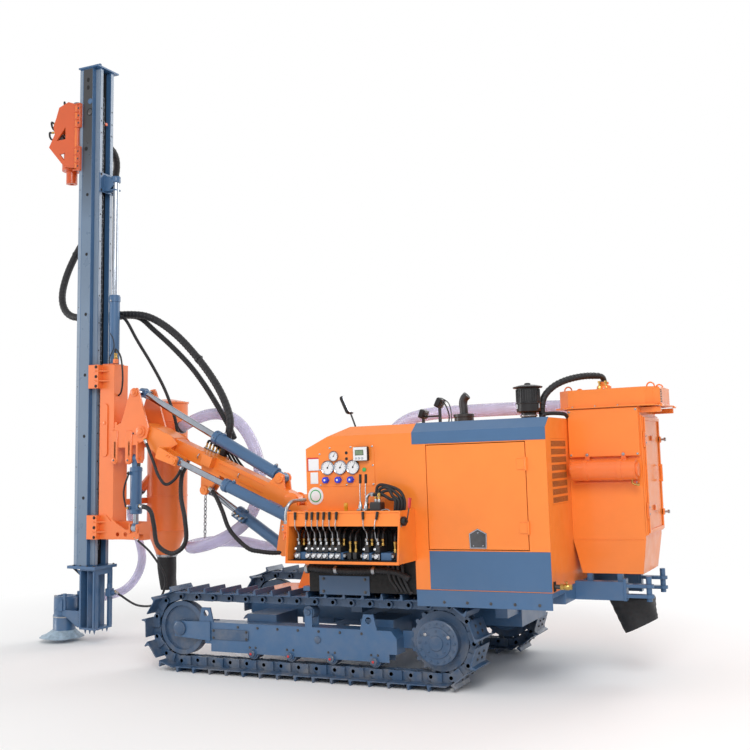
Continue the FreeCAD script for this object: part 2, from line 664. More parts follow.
def valve_bank():
    """Block of spool sections under the levers, with the ports' unions."""
    pieces = [block("console_back + 90", "console_front - 60", "body_half + 40", "body_half + 200",
                    "console_bottom + plate + seat_gap", "console_bottom + 150")]
    for name, start, count, step in LEVER_ROWS:
        for index in range(round(count)):
            x = f"{start} - {index}*{step}"
            pieces.append(block(f"{x} - 34", f"{x} + 34", "body_half + 60", "body_half + 225",
                                "console_bottom + 149", "console_bottom + 215"))
            pieces.append(disc("Y", "16", "body_half + 224", "body_half + 262", x, "console_bottom + 180"))
    return fuse(*pieces)


def control_levers():
    """Levers with grips, standing on the spool sections and leaning forward."""
    pieces = []
    for name, start, count, step in LEVER_ROWS:
        for index in range(round(count)):
            x = f"{start} - {index}*{step}"
            stem = disc("Z", "6", "console_bottom + 215 + seat_gap", "console_top + 10", x, "body_half + 150")
            grip = cone("Z", "11", "15", "console_top + 5", "console_top + 75", x, "body_half + 150")
            pieces.append(fuse(stem, grip))
    return pieces


def instrument_panel():
    """Gauges, display and knobs on the housing's side, above the console."""
    face = "body_half + seat_gap"
    plate_item = block("-770", "-255", face, f"{face} + 4", "1590", "1900")
    pieces = [plate_item]
    # name, x, z, radius, height
    for x, z, radius, height in ((-404, 1840, 32, 22), (-350, 1749, 50, 30), (-465, 1746, 50, 30),
                                 (-581, 1743, 50, 30), (-329, 1647, 16, 26), (-445, 1647, 16, 26),
                                 (-561, 1648, 16, 26), (-685, 1725, 14, 14)):
        pieces.append(disc("Y", str(radius), f"{face} + 3", f"{face} + {height}", str(x), str(z)))
    pieces.append(block("-735", "-590", f"{face} + 3", f"{face} + 45", "1810", "1885"))
    return fuse(*pieces)


# Fittings on the roof

def air_cleaner():
    """Dome pre-cleaner on a neck."""
    foot = disc("Z", "cleaner_radius*0.62", "roof_top + seat_gap", "roof_top + 60", "cleaner_x", "cleaner_y")
    neck = disc("Z", "cleaner_radius*0.45", "roof_top + 55", "roof_top + cleaner_height*0.5",
                "cleaner_x", "cleaner_y")
    bowl = disc("Z", "cleaner_radius", "roof_top + cleaner_height*0.45", "roof_top + cleaner_height - 45",
                "cleaner_x", "cleaner_y")
    cap = cone("Z", "cleaner_radius", "cleaner_radius*0.4", "roof_top + cleaner_height - 45",
               "roof_top + cleaner_height", "cleaner_x", "cleaner_y")
    return fuse(foot, neck, bowl, cap)


def exhaust_stack():
    pipe = disc("Z", "exhaust_radius", "roof_top + seat_gap", "exhaust_top", "exhaust_x", "exhaust_y")
    flange = disc("Z", "exhaust_radius + 25", "roof_top + seat_gap", "roof_top + 12", "exhaust_x", "exhaust_y")
    bore = disc("Z", "exhaust_radius - 4", "roof_top + 40", "exhaust_top + 1", "exhaust_x", "exhaust_y")
    return cut(fuse(pipe, flange), bore)


def lamps():
    """Tilted mirror on a stub, two lamps on a roof bracket and two lamps on the sloped front."""
    lean = "(mirror_top - roof_edge - 92)*0.44"
    mirror = profile("XZ", [
        ("mirror_x", "roof_edge + 92"), ("mirror_x + 34", "roof_edge + 80"),
        (f"mirror_x + 26 + {lean}", "mirror_top - 8"), (f"mirror_x - 4 + {lean}", "mirror_top")],
        "mirror_y - 60", "mirror_y + 60")
    stub = block("mirror_x - 12", "mirror_x + 26", "mirror_y - 14", "mirror_y + 14", "roof_edge - 20",
                 "roof_edge + 120")
    pieces = [cut(fuse(mirror, stub), body_solid("-seat_gap"))]
    bar = block("lamp_x - 135", "lamp_x + 135", "lamp_y - 12", "lamp_y + 12", "lamp_top - 186", "lamp_top - 160")
    bracket = [bar]
    for x in ("lamp_x - 90", "lamp_x + 70"):
        bracket.append(block(x, f"{x} + 20", "lamp_y - 12", "lamp_y + 12", "roof_top + seat_gap", "lamp_top - 180"))
    for x in ("lamp_x - 79", "lamp_x + 79"):
        bracket.append(disc("Y", "60", "lamp_y - 45", "lamp_y + 45", x, "lamp_top - 102"))
        bracket.append(block(f"{x} - 14", f"{x} + 14", "lamp_y - 12", "lamp_y + 12", "lamp_top - 165", "lamp_top - 140"))
        bracket.append(block(f"{x} - 50", f"{x} + 50", "lamp_y - 30", "lamp_y + 30", "lamp_top - 60", "lamp_top"))
    pieces.append(fuse(*bracket))
    for y in ("260", "-260"):
        stand = block("body_front + seat_gap", "body_front + 60", f"{y} - 25", f"{y} + 25", "1750", "1790")
        shell = block("body_front + 40", "body_front + 110", f"{y} - 75", f"{y} + 75", "1780", "1890")
        pieces.append(fuse(stand, shell))
    return pieces


# Dust collector

def dust_box():
    """Hollow filter housing with a slightly tapered foot; open at the top and behind."""
    front = "body_back - seat_gap"
    rear = "body_back - dust_length"

    def shell(t):
        across_form = profile("YZ", [
            (f"-hopper_half + {t}", f"hopper_bottom + {t}"), (f"hopper_half - {t}", f"hopper_bottom + {t}"),
            (f"dust_half - {t}", "hopper_top"), (f"dust_half - {t}", "dust_top"),
            (f"-dust_half + {t}", "dust_top"), (f"-dust_half + {t}", "hopper_top")],
            f"{rear} + {t}", f"{front} - {t}")
        along_form = profile("XZ", [
            (f"{rear} + 38 + {t}", f"hopper_bottom + {t}"), (f"{front} - 56 - {t}", f"hopper_bottom + {t}"),
            (f"{front} - {t}", "hopper_top"), (f"{front} - {t}", "dust_top"),
            (f"{rear} + {t}", "dust_top"), (f"{rear} + {t}", "hopper_top")], "-dust_half", "dust_half")
        return common(across_form, along_form)

    doorway = block(f"{rear} - 10", f"{rear} + dust_wall + 10", "-dust_half + 45", "dust_half - 45",
                    "dust_door_bottom", "dust_door_top")
    outlet = block("beam_end - 110", "beam_end + 155", "-chute_half + 10", "chute_half - 10",
                   "hopper_bottom - 1", "hopper_bottom + dust_wall + 1")
    box = cut(shell("0"), shell("dust_wall"), doorway, outlet)
    arms = []
    for side in (1, -1):
        low, high = side_range(side, "dust_half - 67", "dust_half - 37")
        arms.append(block(f"{rear} - lid_tail + 10", f"{rear} + 1", low, high, "dust_top - 50",
                          "dust_top - knuckle - seat_gap"))
    return fuse(box, *arms)


def dust_door():
    """Rear door with the knuckles of its hinges at the operator's side."""
    rear = "body_back - dust_length"
    panel = block(f"{rear} - 22", f"{rear} - seat_gap", "-dust_half + 20", "dust_half - 20",
                  "dust_door_bottom - 25", "dust_door_top + 25")
    pieces = [panel]
    for z in ("dust_door_bottom + 100", "dust_door_top - 220"):
        pieces.append(disc("Z", "knuckle", z, f"{z} + 120", f"{rear} - 22", "dust_half - 16"))
    return fuse(*pieces)


def dust_lid():
    """Hollow flanged lid with cut corners over the filter housing, hinged behind."""
    front = "body_back + lid_overhang"
    rear = "body_back - dust_length - lid_tail"

    def plan(inset, low, high):
        corners = []
        for x, y, dx, dy in ((rear, "-lid_half", 1, 1), (front, "-lid_half", -1, 1), (front, "lid_half", -1, -1),
                             (rear, "lid_half", 1, -1)):
            along = (f"{x} + {dx}*({inset} + lid_corner)", f"{y} + {dy}*{inset}")
            beside = (f"{x} + {dx}*{inset}", f"{y} + {dy}*({inset} + lid_corner)")
            corners += [beside, along] if dx == dy else [along, beside]
        return profile("XY", corners, low, high)

    flange = plan(0, "dust_top + seat_gap", "dust_top + 12")
    dome = plan(30, "dust_top + 11", "dust_top + lid_height")
    room = plan(45, "dust_top - 1", "dust_top + lid_height - 12")
    pieces = [flange, dome]
    hinge_x = "body_back - dust_length - lid_tail"
    for side in (1, -1):
        low, high = side_range(side, "dust_half - 90", "dust_half - 10")
        pieces.append(disc("Y", "knuckle", low, high, hinge_x, "dust_top"))
        pieces.append(block(hinge_x, f"{hinge_x} + lid_corner + 20", low, high, "dust_top + seat_gap", "dust_top + 8"))
    return cut(fuse(*pieces), room)


def air_tank():
    """Compressed-air tank on the box's side, held by two straps."""
    y = "dust_half + seat_gap + tank_radius + 6"
    rear = "body_back - dust_length"
    tank = disc("X", "tank_radius", f"{rear} + 25", "body_back - 45", y, "tank_z")
    ends = [disc("X", "tank_radius*0.7", f"{rear} + 8", f"{rear} + 26", y, "tank_z"),
            disc("X", "tank_radius*0.7", "body_back - 46", "body_back - 30", y, "tank_z")]
    straps = []
    for x in (f"{rear} + 130", "body_back - 170"):
        ring = disc("X", "tank_radius + 5", x, f"{x} + 35", y, "tank_z")
        lug = block(x, f"{x} + 35", "dust_half + seat_gap", f"{y}", "tank_z - 15", "tank_z + 15")
        straps.append(fuse(ring, lug))
    return fuse(tank, *ends, *straps)


def dust_chute():
    """Rubber boot below the filter housing, wider downward and cut off at a slant."""
    def boot(t, top, low):
        return profile("XZ", [
            (f"beam_end - 120 + {t}", top), (f"beam_end + 165 - {t}", top),
            (f"beam_end + 186 - {t}", "chute_top"), (f"beam_end + 82 - {t}", f"chute_bottom - {low}"),
            (f"beam_end - 190 + {t}", f"chute_bottom + 128 - {low}"), (f"beam_end - 167 + {t}", "chute_top")],
            f"-chute_half + {t}", f"chute_half - {t}")

    return cut(boot(0, "hopper_bottom - seat_gap", 0), boot(10, "hopper_bottom - 20", 40))


# Boom base and swing post

def boom_base():
    """Upright casting at the front of the frame with two lugs for the swing post."""
    back = block("60", "230", "-150", "150", "frame_top + seat_gap", "base_top")
    foot = block("20", "frame_front - 40", "-230", "230", "frame_top + seat_gap", "frame_top + 45")
    gusset = profile("XZ", [("225", "frame_top + 40"), ("swing_x + 150", "frame_top + 40"),
                            ("swing_x + 60", "lower_lug + 1"), ("225", "lower_lug + 1")], "-60", "60")
    pieces = [back, foot, gusset]
    for low in ("lower_lug", "base_top - lug_height"):
        pieces.append(block("225", "swing_x", "-lug_radius", "lug_radius", low, f"{low} + lug_height"))
        pieces.append(disc("Z", "lug_radius", low, f"{low} + lug_height", "swing_x", "0"))
    # arm that carries the yoke of the swing cylinder
    pieces.append(block("80", "swing_base_x", "149", "swing_side + 40", "swing_base_z - 110", "swing_base_z - 85"))
    pieces.append(disc("Z", "40", "swing_base_z - 110", "swing_base_z - 85", "swing_base_x", "swing_side"))
    bore = disc("Z", "main_pin + pin_clearance", "lower_lug - 1", "base_top + 1", "swing_x", "0")
    yoke_bore = disc("Z", "pin + pin_clearance", "swing_base_z - 120", "swing_base_z - 80",
                     "swing_base_x", "swing_side")
    return cut(fuse(*pieces), bore, yoke_bore)


def swing_post():
    """Post between the lugs, with ears for the boom's root and for the lift cylinder."""
    low = "lower_lug + lug_height + 5"
    high = "base_top - lug_height - 5"
    post = disc("Z", "post_radius", low, high, "swing_x", "0")
    pieces = [post, disc("Z", "main_pin", "lower_lug", "base_top", "swing_x", "0")]
    for side in (1, -1):
        y0, y1 = side_range(side, "boom_half + ear_gap", "boom_half + ear_gap + ear")
        pieces.append(profile("XZ", [
            ("swing_x", f"lift_base_z - 60"), ("lift_base_x", "lift_base_z - 55"),
            ("lift_base_x + 55", "lift_base_z"), ("lift_x + 80", "lift_z - 40"), ("lift_x + 60", "lift_z + 50"),
            ("lift_x - 70", "lift_z + 50"), ("lift_x - 80", f"{high} - 45"), ("swing_x", f"{high} - 45")], y0, y1))
    pieces.append(disc("Y", "main_pin", "-boom_half - ear_gap - ear", "boom_half + ear_gap + ear", "lift_x", "lift_z"))
    pieces.append(disc("Y", "pin", "-boom_half - ear_gap - ear", "boom_half + ear_gap + ear",
                       "lift_base_x", "lift_base_z"))
    return fuse(*pieces)


def swing_yoke():
    """Swivel that holds the base of the swing cylinder."""
    z = "swing_base_z"
    x = "swing_base_x"
    stem = disc("Z", "pin", f"{z} - 108", f"{z} - 60", x, "swing_side")
    table = disc("Z", "48", f"{z} - 84", f"{z} - 60", x, "swing_side")
    pieces = [stem, table]
    for side in (1, -1):
        near = "swing_side + 28" if side > 0 else "swing_side - 44"
        pieces.append(profile("XZ", [(f"{x} - 30", f"{z} - 62"), (f"{x} + 30", f"{z} - 62"),
                                     (f"{x} + 30", f"{z} + 30"), (f"{x} - 30", f"{z} + 30")],
                              near, f"{near} + 16"))
    pieces.append(disc("Y", "pin*0.8", "swing_side - 44", "swing_side + 44", x, z))
    return fuse(*pieces)


# Hydraulic cylinders, drawn along X from the base pin

def barrel(radius, bore, length, eye_half, pin_radius_name, tail="70"):
    """Barrel with its base eye; the base pin lies at the origin, across."""
    tube = disc("X", radius, tail, length)
    neck = block("0", f"{tail} + 1", f"-({eye_half})", eye_half, f"-({radius})*0.62", f"({radius})*0.62")
    eye = disc("Y", f"({radius})*0.8", f"-({eye_half})", eye_half)
    gland = disc("X", f"({radius})*1.08", f"({length}) - 60", length)
    room = disc("X", f"{bore} + rod_clearance", f"{tail} + 12", f"({length}) + 1")
    hole = disc("Y", f"{pin_radius_name} + pin_clearance", f"-({eye_half}) - 1", f"({eye_half}) + 1")
    return cut(fuse(tube, neck, eye, gland), room, hole)


def piston_rod(radius, start, length, eye_radius, eye_half, pin_half):
    """Polished rod from inside the barrel to its eye, which holds the middle of its pin."""
    shaft = disc("X", radius, start, f"({length}) - ({eye_radius})*0.6")
    collar = disc("X", f"({radius}) + 3", f"({length}) - ({eye_radius}) - 30", f"({length}) - ({eye_radius})*0.6")
    eye = disc("Y", eye_radius, f"-({eye_half})", eye_half, length)
    pin_middle = disc("Y", "pin", f"-({pin_half})", pin_half, length)
    return fuse(shaft, collar, eye, pin_middle)


FRAMES["lift cylinder"] = (
    "lift_base_x", "0", "lift_base_z", (0, 1, 0),
    "-atan2(lift_z + lift_rod_x*sin(boom_pitch) + lift_rod_z*cos(boom_pitch) - lift_base_z; "
    "lift_x + lift_rod_x*cos(boom_pitch) - lift_rod_z*sin(boom_pitch) - lift_base_x)")
FRAMES["swing cylinder"] = (
    "swing_base_x", "swing_side", "swing_base_z", (0, 1, 0),
    "-atan2(lift_z + swing_rod_x*sin(boom_pitch) + swing_rod_z*cos(boom_pitch) - swing_base_z; "
    "lift_x + swing_rod_x*cos(boom_pitch) - swing_rod_z*sin(boom_pitch) - swing_base_x)")
TILT_EAR_X = "(boom_length + tilt_ear_x*cos(boom_pitch - mast_lean) + tilt_ear_z*sin(boom_pitch - mast_lean))"
TILT_EAR_Z = "(-tilt_ear_x*sin(boom_pitch - mast_lean) + tilt_ear_z*cos(boom_pitch - mast_lean))"
FRAMES["tilt cylinder"] = (
    "lift_x + tilt_base_x*cos(boom_pitch) - tilt_base_z*sin(boom_pitch)", "0",
    "lift_z + tilt_base_x*sin(boom_pitch) + tilt_base_z*cos(boom_pitch)", (0, 1, 0),
    f"-boom_pitch*1deg - atan2({TILT_EAR_Z} - tilt_base_z; {TILT_EAR_X} - tilt_base_x)")


def pin_distance(ax, az, bx, bz):
    return f"sqrt((({ax}) - ({bx}))^2 + (({az}) - ({bz}))^2)"


LIFT_LENGTH = pin_distance(
    "lift_x + lift_rod_x*cos(boom_pitch) - lift_rod_z*sin(boom_pitch)",
    "lift_z + lift_rod_x*sin(boom_pitch) + lift_rod_z*cos(boom_pitch)", "lift_base_x", "lift_base_z")
SWING_LENGTH = pin_distance(
    "lift_x + swing_rod_x*cos(boom_pitch) - swing_rod_z*sin(boom_pitch)",
    "lift_z + swing_rod_x*sin(boom_pitch) + swing_rod_z*cos(boom_pitch)", "swing_base_x", "swing_base_z")
TILT_LENGTH = pin_distance(TILT_EAR_X, TILT_EAR_Z, "tilt_base_x", "tilt_base_z")
FAN_LENGTH = "(fan_top_z - fan_low_z)"


# Boom

def boom():
    """Box boom drawn along X from the lift pin, with its ears and the fork for the head."""
    depth = "boom_depth/2"
    tube = profile("XZ", [
        ("20", f"-{depth} - 8"), ("1600", f"-{depth}"), ("1600", depth), ("20", f"{depth} + 8")],
        "-boom_half", "boom_half")
    root = disc("Y", f"{depth} + 8", "-boom_half", "boom_half")
    end = profile("XZ", [
        ("1440", "-70"), ("1600", "-140"), ("1720", "-80"), ("boom_length", "-80"),
        ("boom_length", "80"), ("1700", "95"), ("1480", "80")], "-112", "112")
    nose = disc("Y", "85", "-112", "112", "boom_length")
    pieces = [tube, root, end, nose]
    for side in (1, -1):
        y0, y1 = side_range(side, "42", "42 + ear*0.8")
        pieces.append(profile("XZ", [
            ("tilt_base_x - 110", f"{depth} - 20"), ("tilt_base_x + 110", f"{depth} - 20"),
            ("tilt_base_x + 48", "tilt_base_z"), ("tilt_base_x + 30", "tilt_base_z + 45"),
            ("tilt_base_x - 30", "tilt_base_z + 45"), ("tilt_base_x - 48", "tilt_base_z")], y0, y1))
        pieces.append(profile("XZ", [
            ("lift_rod_x - 120", f"-{depth} + 20"), ("lift_rod_x - 52", "lift_rod_z"),
            ("lift_rod_x - 30", "lift_rod_z - 48"), ("lift_rod_x + 30", "lift_rod_z - 48"),
            ("lift_rod_x + 52", "lift_rod_z"), ("lift_rod_x + 130", f"-{depth} + 20")], y0, y1))
    # pin of the tilt cylinder's base, and the pin heads of the two rods in their ears
    pieces.append(disc("Y", "pin", "-42 - ear*0.8", "42 + ear*0.8", "tilt_base_x", "tilt_base_z"))
    for side in (1, -1):
        low, high = side_range(side, "44", "52 + ear*0.8")
        pieces.append(disc("Y", "pin", low, high, "lift_rod_x", "lift_rod_z"))
        # hose manifolds
        low, high = side_range(side, "boom_half - 1", "boom_half + 80")
        pieces.append(block("940", "1060", low, high, "-30", "75"))
    # side bracket of the swing cylinder's rod, wide enough for its sideways play
    web_x = "swing_rod_x + 185"
    pieces.append(block(web_x, f"{web_x} + 30", "boom_half - 5", "swing_side + 71", "swing_rod_z - 55",
                        "swing_rod_z + 60"))
    for near, pin_low, pin_high in (("swing_side - 88", "swing_side - 94", "swing_side - 66"),
                                    ("swing_side + 47", "swing_side + 49", "swing_side + 80")):
        pieces.append(profile("XZ", [
            ("swing_rod_x - 45", "swing_rod_z - 40"), (f"{web_x} + 1", "swing_rod_z - 55"),
            (f"{web_x} + 1", "swing_rod_z + 60"), ("swing_rod_x - 45", "swing_rod_z + 40")], near, f"{near} + 24"))
        pieces.append(disc("Y", "pin", pin_low, pin_high, "swing_rod_x", "swing_rod_z"))
    root_bore = disc("Y", "main_pin + pin_clearance", "-boom_half - 1", "boom_half + 1")
    nose_bore = disc("Y", "main_pin + pin_clearance", "-120", "120", "boom_length")
    return cut(fuse(*pieces), root_bore, nose_bore)


def tilt_head():
    """Two triangular cheeks on the tilt pin, the swing flange plate and the ears below."""
    pieces = []
    for side in (1, -1):
        y0, y1 = side_range(side, "cheek_half - cheek", "cheek_half")
        cheek_plate = profile("XZ", [
            ("-100", "20"), ("-70", "-75"), ("60", "-135"), ("head_front", "-150"), ("head_front", "60"),
            ("head_front - 85", "90"), ("tilt_ear_x + 50", "tilt_ear_z + 25"),
            ("tilt_ear_x - 30", "tilt_ear_z + 45"), ("tilt_ear_x - 55", "tilt_ear_z")], y0, y1)
        pieces.append(cheek_plate)
    for side in (1, -1):
        y0, y1 = side_range(side, "cheek_half - cheek + 2", "cheek_half + 12")
        pieces.append(disc("Y", "pin*1.6", y0, y1, "tilt_ear_x", "tilt_ear_z"))
    pieces.append(disc("Y", "main_pin", "-cheek_half - 15", "cheek_half + 15"))
    pieces.append(block("head_front - 30", "head_front", "-cheek_half", "cheek_half", "-190", "100"))
    pieces.append(block("130", "head_front", "-cheek_half", "cheek_half", "-160", "-135"))
    pieces.append(profile("XZ", [("head_front - 110", "85"), ("head_front - 90", "100"),
                                 ("tilt_ear_x + 115", "tilt_ear_z - 160"), ("tilt_ear_x + 95", "tilt_ear_z - 175")],
                          "-cheek_half + 1", "cheek_half - 1"))
    # ears for the mast swing cylinder, holes along X
    for x in ("fan_ear_x - 60", "fan_ear_x + 40", "head_front - 26"):
        plate_item = profile("YZ", [
            ("fan_y - 55", "fan_top_z"), ("fan_y - 30", "fan_top_z - 48"), ("fan_y + 30", "fan_top_z - 48"),
            ("fan_y + 55", "fan_top_z"), ("fan_y + 55", "-100"), ("fan_y - 55", "-100")],
            x, f"{x} + 22")
        pieces.append(plate_item)
    pieces.append(disc("X", "pin*0.8", "fan_ear_x - 75", "fan_ear_x + 72", "fan_y", "fan_top_z"))
    pieces.append(disc("X", "slew_radius", "head_front - 2", "head_front + 20", "0", "slew_z"))
    socket = disc("X", "50 + pin_clearance", "head_front - 60", "head_front + 30", "0", "slew_z")
    return cut(fuse(*pieces), socket)


def fan_barrel():
    """Mast swing cylinder: barrel at the top, its eye across X, its rod downward."""
    top = "fan_top_z"
    y = "fan_y"
    x = "fan_ear_x"
    eye = disc("X", "42", f"{x} - 38", f"{x} + 36", y, top)
    neck = block(f"{x} - 30", f"{x} + 30", f"{y} - 30", f"{y} + 30", f"{top} - 90", top)
    tube = disc("Z", "58", f"{top} - 560", f"{top} - 88", x, y)
    bore = disc("Z", "30 + rod_clearance", f"{top} - 561", f"{top} - 150", x, y)
    hole = disc("X", "pin*0.8 + pin_clearance", f"{x} - 60", f"{x} + 60", y, top)
    return cut(fuse(eye, neck, tube), bore, hole)


def fan_rod():
    top = "fan_top_z"
    low = f"fan_top_z - {FAN_LENGTH}"
    shaft = disc("Z", "30", f"{low} + 24", f"{top} - 300", "fan_ear_x", "fan_y")
    eye = disc("X", "42", "fan_ear_x - 29", "fan_ear_x + 28", "fan_y", low)
    return fuse(shaft, eye)


# Carriage and mast, drawn in the mast's frame

def carriage():
    """Long channel beam with slide clamps on the mast, the swing flange and the lower arm."""
    box = block("carriage_back", "carriage_front", "-carriage_half", "carriage_half",
                "carriage_low", "carriage_high")
    room = block("carriage_back + carriage_wall", "carriage_front + 1", "-carriage_half + carriage_wall",
                 "carriage_half - carriage_wall", "carriage_low - 1", "carriage_high + 1")
    pieces = [cut(box, room)]
    for low in ("carriage_low", "carriage_high - clamp_height"):
        for side in (1, -1):
            y0, y1 = side_range(side, "rail_outer + slide_gap", "mast_half + 22")
            pieces.append(block("carriage_front - 30", "rail_depth - 8", y0, y1, low, f"{low} + clamp_height"))
            y0, y1 = side_range(side, "rail_inner", "rail_outer + 2")
            pieces.append(block("carriage_front - 30", "-slide_gap", y0, y1, low, f"{low} + clamp_height"))
    # boss and journal of the mast swing pivot
    slew = f"{PIN_Z} + slew_z"
    pieces.append(disc("X", "slew_radius", f"{PIN_X} + head_front + 20 + slide_gap", "carriage_back + 5", "0", slew))
    pieces.append(disc("X", "50", f"{PIN_X} + head_front - 55", "carriage_back + 5", "0", slew))
    # lower arm with the ears and the pin of the mast swing cylinder
    arm_z = f"{PIN_Z} + fan_low_z"
    arm_x = f"{PIN_X} + fan_ear_x"
    for near in (f"{arm_x} - 52", f"{arm_x} + 36"):
        pieces.append(profile("YZ", [
            ("carriage_half - 70", f"{arm_z} - 70"), ("fan_y + 45", f"{arm_z} - 45"),
            ("fan_y + 45", f"{arm_z} + 40"), ("carriage_half - 70", f"{arm_z} + 55")],
            near, f"{near} + 16"))
    for near in (f"{arm_x} - 58", f"{arm_x} + 38"):
        pieces.append(disc("X", "pin", near, f"{near} + 20", "fan_y", arm_z))
    for near in ("carriage_half - 82", "-carriage_half + 60"):
        pieces.append(block(f"{arm_x} - 52", "carriage_back + 5", near, f"{near} + 22",
                            "carriage_low", f"{arm_z} + 60"))
    pieces.append(block(f"{arm_x} - 52", f"{arm_x} - 36", "-carriage_half + 40", "carriage_half - 61",
                        "carriage_low", f"{arm_z} + 60"))
    # brackets of the cyclone on the far side, cut to the drum
    drum = disc("Z", "cyclone_radius + seat_gap", "cyclone_cone", "cyclone_top", "cyclone_x", "cyclone_y")
    arms = []
    for low in ("1420", "2300"):
        arms.append(block("carriage_back + 20", "carriage_back + 80", "cyclone_y + cyclone_radius*0.5",
                          "-carriage_half + 5", low, f"{low} + 60"))
    return cut(fuse(*pieces, *arms), drum)


def comp_barrel():
    tube = disc("Z", "comp_radius", "2250", "comp_top", "comp_x", "0")
    bore = disc("Z", "32 + rod_clearance", "2300", "comp_top + 1", "comp_x", "0")
    return cut(tube, bore)


def comp_rod():
    """Polished rod hung from a bracket on the mast's rear rails."""
    shaft = disc("Z", "32", "comp_top - 150", "comp_eye", "comp_x", "0")
    eye = disc("Z", "48", "comp_eye - 10", "comp_eye + 60", "comp_x", "0")
    bracket = block("comp_x - 30", "-12 - seat_gap", "-45", "45", "comp_eye - 100", "comp_eye + 5")
    foot = block("-12 - seat_gap", "-seat_gap", "-rail_outer", "rail_outer", "comp_eye - 105", "comp_eye + 105")
    return fuse(shaft, eye, bracket, foot)


def mast_beam():
    """Long beam: side plates and front plate, rear rails for the carriage, front rails for the head."""
    box = block("rail_depth", "mast_depth", "-mast_half", "mast_half", "mast_bottom", "mast_top")
    room = block("rail_depth - 1", "mast_depth - mast_wall", "-mast_half + mast_wall", "mast_half - mast_wall",
                 "mast_bottom - 1", "mast_top + 1")
    back = cut(block("rail_depth", "rail_depth + mast_wall", "-mast_half + 1", "mast_half - 1",
                     "mast_bottom", "mast_top"),
               block("rail_depth - 1", "rail_depth + mast_wall + 1", "-rail_inner", "rail_inner",
                     "mast_bottom - 1", "mast_top + 1"))
    pieces = [cut(box, room), back]
    for side in (1, -1):
        y0, y1 = side_range(side, "rail_inner", "rail_outer")
        pieces.append(block("0", "rail_depth + 2", y0, y1, "mast_bottom", "mast_top"))
        y0, y1 = side_range(side, "mast_half - 45", "mast_half - 5")
        pieces.append(block("mast_depth - 2", "mast_depth + front_rail", y0, y1, "mast_bottom", "mast_top"))
    # bracket that both wrapped hose bundles end on
    pieces.append(block("rail_depth - 2", "rail_depth + 13", "-mast_half - 135", "-mast_half + 1", "3380", "3520"))
    cap = block("-18", "mast_depth + front_rail + 10", "-mast_half - 15", "mast_half + 15",
                "mast_top", "mast_top + 16")
    eye_plate = block("90", "170", "-12", "12", "mast_top + 15", "mast_top + 95")
    pieces.append(cut(fuse(cap, eye_plate), disc("Y", "20", "-20", "20", "130", "mast_top + 60")))
    return fuse(*pieces)


def feed_chain():
    """Roller chain inside the mast, over sprockets at both ends."""
    pieces = []
    wheel_x = "110"
    for z in ("mast_bottom + 160", "mast_top - 260"):
        pieces.append(disc("Y", "52", "-14", "14", wheel_x, z))
        pieces.append(disc("Y", "16", "-mast_half + mast_wall + seat_gap", "mast_half - mast_wall - seat_gap",
                           wheel_x, z))
    for x in (f"{wheel_x} - 52", f"{wheel_x} + 40"):
        pieces.append(block(x, f"{x} + 12", "-chain_half", "chain_half", "mast_bottom + 160", "mast_top - 260"))
    return fuse(*pieces)


def drill_head():
    """Head housing between two cheeks, on shoes that run on the front rails."""
    base_x = "mast_depth + front_rail + slide_gap"
    back = block(base_x, f"{base_x} + 25", "-mast_half - 22", "mast_half + 22", "head_low", "head_high")
    pieces = [back]
    for low in ("head_low", "head_high - shoe_low_height"):
        for side in (1, -1):
            y0, y1 = side_range(side, "mast_half - 5 + slide_gap", "mast_half + 22")
            pieces.append(block("mast_depth + 6", f"{base_x} + 5", y0, y1, low, f"{low} + shoe_low_height"))
    for side in (1, -1):
        y0, y1 = side_range(side, "105", "125")
        pieces.append(profile("XZ", [
            (f"{base_x} + 20", "head_low + 40"), ("drill_x - 60", "head_low + 70"), ("drill_x + 215", "head_low + 320"),
            ("drill_x + 120", "head_low + 480"), ("drill_x + 90", "head_low + 640"),
            (f"{base_x} + 160", "head_high + 60"), (f"{base_x} + 20", "head_high")], y0, y1))
    pieces.append(block(f"{base_x} + 20", "drill_x + 60", "-106", "106", "head_low + 180", "head_low + 480"))
    # bracket of the hoses
    pieces.append(block(f"{base_x} + 20", f"{base_x} + 110", "-mast_half - 22", "-104", "head_low + 370",
                        "head_low + 490"))
    bore = disc("Z", "spindle_radius + seat_gap", "head_low - 10", "head_low + 360", "drill_x", "0")
    return cut(fuse(*pieces), bore)


def head_motors():
    """Rotation motor across the cheeks and the upper motor."""
    low = disc("Y", "86", "-104.7", "104.7", "drill_x + 115", "head_low + 380")
    high = disc("Z", "72", "head_low + 480 + seat_gap", "head_high + 90", "drill_x - 70", "0")
    return [cut(low, block("drill_x - 100", "drill_x + 60 + seat_gap", "-110", "110", "head_low", "head_high")),
            high]


def spindle():
    """Rotating shank with its threaded socket."""
    tube = disc("Z", "spindle_radius", "spindle_bottom", "head_low + 355", "drill_x", "0")
    sleeve = disc("Z", "spindle_radius + 14", "spindle_bottom", "head_low + 150", "drill_x", "0")
    return cut(fuse(tube, sleeve), disc("Z", "spindle_bore", "spindle_bottom - 1", "spindle_bottom + 110",
                                        "drill_x", "0"))


